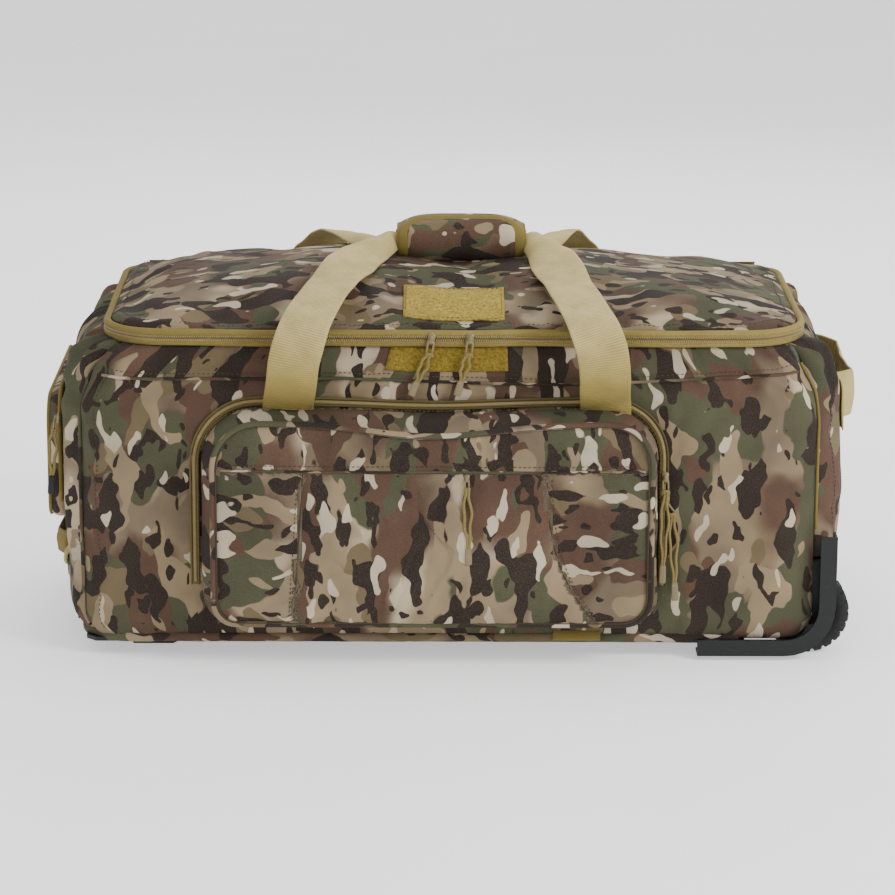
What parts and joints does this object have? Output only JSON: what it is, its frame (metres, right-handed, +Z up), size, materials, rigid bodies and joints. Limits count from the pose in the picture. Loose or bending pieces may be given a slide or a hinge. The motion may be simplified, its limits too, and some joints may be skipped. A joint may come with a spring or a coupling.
{
  "type": "rolling duffel bag",
  "caption": "Large soft-sided duffel bag in blotched camouflage fabric, with a zipped lid, front pocket, webbing carry handles, wheels at one end and a telescoping trolley handle",
  "frame": {"origin": "on the floor, under the middle of the whole bag", "axes": "+X points to the wheel end, -Y to the front with the large pocket, +Z up"},
  "size_m": [0.806, 0.4317, 0.415],
  "materials": {
    "camo_fabric": null,
    "olive_webbing": "ribbed olive-tan webbing, binding and zip tape",
    "hook_and_loop": "fuzzy olive loop tape",
    "black_plastic": "pebbled black moulded plastic",
    "grey_plastic": "smooth dark grey moulded plastic",
    "tyre_rubber": "matt black treaded rubber",
    "aluminium": "brushed anodised tube",
    "steel": "turned steel",
    "slider_metal": "olive enamelled cast slider",
    "cord_pull": "braided olive cord with a moulded tip"
  },
  "bodies": {
    "bag": {"front_panel": "camo_fabric", "rear_panel": "camo_fabric", "wheel_end_panel": "camo_fabric", "trolley_end_panel": "camo_fabric", "base_panel": "black_plastic", "kick_plate": "black_plastic", "false_floor": "black_plastic", "body_zip_welt": "olive_webbing", "front_hook_strip": "hook_and_loop", "pocket_zip_track": "olive_webbing", "wheel_housing_front": "black_plastic", "wheel_housing_rear": "black_plastic", "axle_front": "steel", "axle_rear": "steel", "corner_guard_front": "black_plastic", "corner_guard_rear": "black_plastic", "skid_front": "black_plastic", "skid_rear": "black_plastic", "trolley_outer_frame": "aluminium", "trolley_handle_cup": "black_plastic", "front_riser_left": "olive_webbing", "front_riser_right": "olive_webbing"},
    "lid": {"lid_panel": "camo_fabric", "lid_zip_welt": "olive_webbing", "lid_loop_patch": "hook_and_loop"},
    "front_handle": {"front_strap_left": "olive_webbing", "front_strap_right": "olive_webbing", "handle_wrap": "camo_fabric"},
    "rear_handle": {"rear_strap_left": "olive_webbing", "rear_strap_right": "olive_webbing"},
    "front_pocket": {"pocket_gusset": "camo_fabric", "pocket_face": "camo_fabric"},
    "sub_slider": {"sub_pocket_slider": "slider_metal"},
    "sub_pull": {"sub_pocket_pull": "cord_pull"},
    "end_pocket_flap": {"end_pocket": "camo_fabric"},
    "end_slider": {"end_pocket_slider": "slider_metal"},
    "end_pull": {"end_pocket_pull": "cord_pull"},
    "main_slider_left": {"main_slider_left": "slider_metal"},
    "main_pull_left": {"main_pull_left": "cord_pull"},
    "main_slider_right": {"main_slider_right": "slider_metal"},
    "main_pull_right": {"main_pull_right": "cord_pull"},
    "pocket_slider_upper": {"pocket_slider_upper": "slider_metal"},
    "pocket_pull_upper": {"pocket_pull_upper": "cord_pull"},
    "pocket_slider_lower": {"pocket_slider_lower": "slider_metal"},
    "pocket_pull_lower": {"pocket_pull_lower": "cord_pull"},
    "front_wheel": {"wheel_tyre_front": "tyre_rubber", "wheel_hub_front": "grey_plastic", "wheel_bearing_front": "steel"},
    "rear_wheel": {"wheel_tyre_rear": "tyre_rubber", "wheel_hub_rear": "grey_plastic", "wheel_bearing_rear": "steel"},
    "wheel_end_handle": {"wheel_end_handle": "olive_webbing"},
    "trolley_end_handle": {"trolley_end_handle": "olive_webbing"},
    "trolley_middle": {"trolley_middle_tube_front": "aluminium", "trolley_middle_tube_rear": "aluminium", "trolley_middle_yoke": "black_plastic"},
    "trolley_inner": {"trolley_inner_tube_front": "aluminium", "trolley_inner_tube_rear": "aluminium", "trolley_grip": "black_plastic"},
    "trolley_button": {"trolley_button": "grey_plastic"}
  },
  "joints": [
    {"name": "lid_open", "type": "hinge", "parent": "bag", "child": "lid", "pos_m": [0, 0.168, 0.3335], "axis": [-1, 0, 0], "range_deg": [0, 90]},
    {"name": "front_handle_swing", "type": "hinge", "parent": "bag", "child": "front_handle", "pos_m": [0, -0.208, 0.3], "axis": [1, 0, 0], "range_deg": [0, 180]},
    {"name": "rear_handle_swing", "type": "hinge", "parent": "bag", "child": "rear_handle", "pos_m": [0, 0.2115, 0.262], "axis": [-1, 0, 0], "range_deg": [0, 90]},
    {"name": "front_pocket_open", "type": "hinge", "parent": "bag", "child": "front_pocket", "pos_m": [0, -0.1668, 0.046], "axis": [1, 0, 0], "range_deg": [0, 55]},
    {"name": "sub_slider_run", "type": "slide", "parent": "front_pocket", "child": "sub_slider", "axis": [1, 0, 0], "range_m": [-0.145, 0.068]},
    {"name": "sub_pull_swing", "type": "hinge", "parent": "sub_slider", "child": "sub_pull", "pos_m": [0.017, -0.2134, 0.1985], "axis": [-1, 0, 0], "range_deg": [0, 80]},
    {"name": "end_pocket_open", "type": "hinge", "parent": "bag", "child": "end_pocket_flap", "pos_m": [-0.3838, 0, 0.13], "axis": [0, -1, 0], "range_deg": [0, 70]},
    {"name": "end_slider_run", "type": "slide", "parent": "bag", "child": "end_slider", "axis": [0, 0, 1], "range_m": [-0.08, 0.008]},
    {"name": "end_pull_swing", "type": "hinge", "parent": "end_slider", "child": "end_pull", "pos_m": [-0.3925, -0.129, 0.238], "axis": [0, 1, 0], "range_deg": [0, 90]},
    {"name": "main_slider_left_run", "type": "slide", "parent": "bag", "child": "main_slider_left", "axis": [-1, 0, 0], "range_m": [0, 0.24]},
    {"name": "main_pull_left_swing", "type": "hinge", "parent": "main_slider_left", "child": "main_pull_left", "pos_m": [-0.018, -0.1655, 0.3238], "axis": [-1, 0, 0], "range_deg": [0, 100]},
    {"name": "main_slider_right_run", "type": "slide", "parent": "bag", "child": "main_slider_right", "axis": [1, 0, 0], "range_m": [0, 0.24]},
    {"name": "main_pull_right_swing", "type": "hinge", "parent": "main_slider_right", "child": "main_pull_right", "pos_m": [0.02, -0.1655, 0.3238], "axis": [-1, 0, 0], "range_deg": [0, 100]},
    {"name": "pocket_slider_upper_run", "type": "slide", "parent": "bag", "child": "pocket_slider_upper", "axis": [0, 0, 1], "range_m": [0, 0.022]},
    {"name": "pocket_pull_upper_swing", "type": "hinge", "parent": "pocket_slider_upper", "child": "pocket_pull_upper", "pos_m": [0.2135, -0.1772, 0.191], "axis": [-1, 0, 0], "range_deg": [0, 100]},
    {"name": "pocket_slider_lower_run", "type": "slide", "parent": "bag", "child": "pocket_slider_lower", "axis": [0, 0, 1], "range_m": [-0.05, 0]},
    {"name": "pocket_pull_lower_swing", "type": "hinge", "parent": "pocket_slider_lower", "child": "pocket_pull_lower", "pos_m": [0.2228, -0.1772, 0.165], "axis": [-1, 0, 0], "range_deg": [0, 100]},
    {"name": "front_wheel_spin", "type": "hinge", "parent": "bag", "child": "front_wheel", "pos_m": [0.36, -0.127, 0.042], "axis": [0, 1, 0], "continuous": true},
    {"name": "rear_wheel_spin", "type": "hinge", "parent": "bag", "child": "rear_wheel", "pos_m": [0.36, 0.167, 0.042], "axis": [0, 1, 0], "continuous": true},
    {"name": "wheel_end_handle_flex", "type": "hinge", "parent": "bag", "child": "wheel_end_handle", "pos_m": [0.388, 0.02, 0.245], "axis": [0, 1, 0], "range_deg": [-12, 12]},
    {"name": "trolley_end_handle_flex", "type": "hinge", "parent": "bag", "child": "trolley_end_handle", "pos_m": [-0.387, 0.02, 0.09], "axis": [0, 1, 0], "range_deg": [-12, 12]},
    {"name": "trolley_stage_one", "type": "slide", "parent": "bag", "child": "trolley_middle", "axis": [-1, 0, 0], "range_m": [0, 0.28]},
    {"name": "trolley_stage_two", "type": "slide", "parent": "trolley_middle", "child": "trolley_inner", "axis": [-1, 0, 0], "range_m": [0, 0.27]},
    {"name": "trolley_button_press", "type": "slide", "parent": "trolley_inner", "child": "trolley_button", "axis": [1, 0, 0], "range_m": [0, 0.004], "stiffness_N_per_m": 300}
  ],
  "couplings": [
    {"joint": "front_handle_swing", "follows": "lid_open", "ratio": 2},
    {"joint": "rear_handle_swing", "follows": "lid_open", "ratio": 1}
  ]
}
